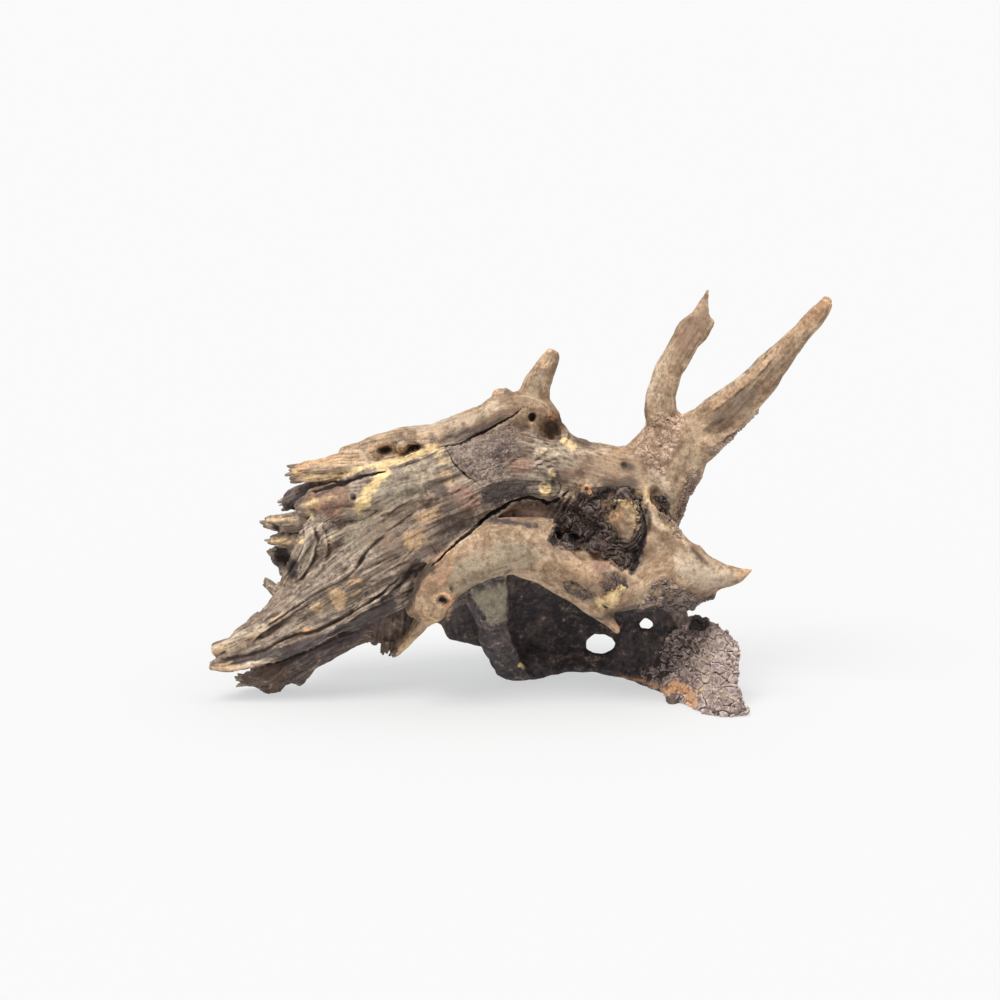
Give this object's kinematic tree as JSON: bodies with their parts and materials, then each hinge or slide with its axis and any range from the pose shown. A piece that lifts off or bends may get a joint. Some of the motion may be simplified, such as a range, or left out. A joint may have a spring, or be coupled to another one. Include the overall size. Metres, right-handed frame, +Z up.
{
  "type": "driftwood trunk",
  "caption": "Weathered one-piece driftwood trunk with a splintered end, a root arch over a hollow, a forked limb and a cracked bark shell, for an aquarium or terrarium.",
  "frame": {"origin": "on the floor, under the middle of the trunk's box", "axes": "+X along the trunk from its splintered end to the forked limb, +Y away from its front, +Z up"},
  "size_m": [0.462, 0.1698, 0.3067],
  "materials": {
    "weathered_wood": "dry weathered driftwood, matt: grey-brown grain, tan where it is worn smooth, orange-tan where it is torn",
    "dark_bark": "cracked dark bark, matt, purple-brown to near black"
  },
  "bodies": {
    "root": {"driftwood_trunk": "weathered_wood"}
  },
  "joints": []
}
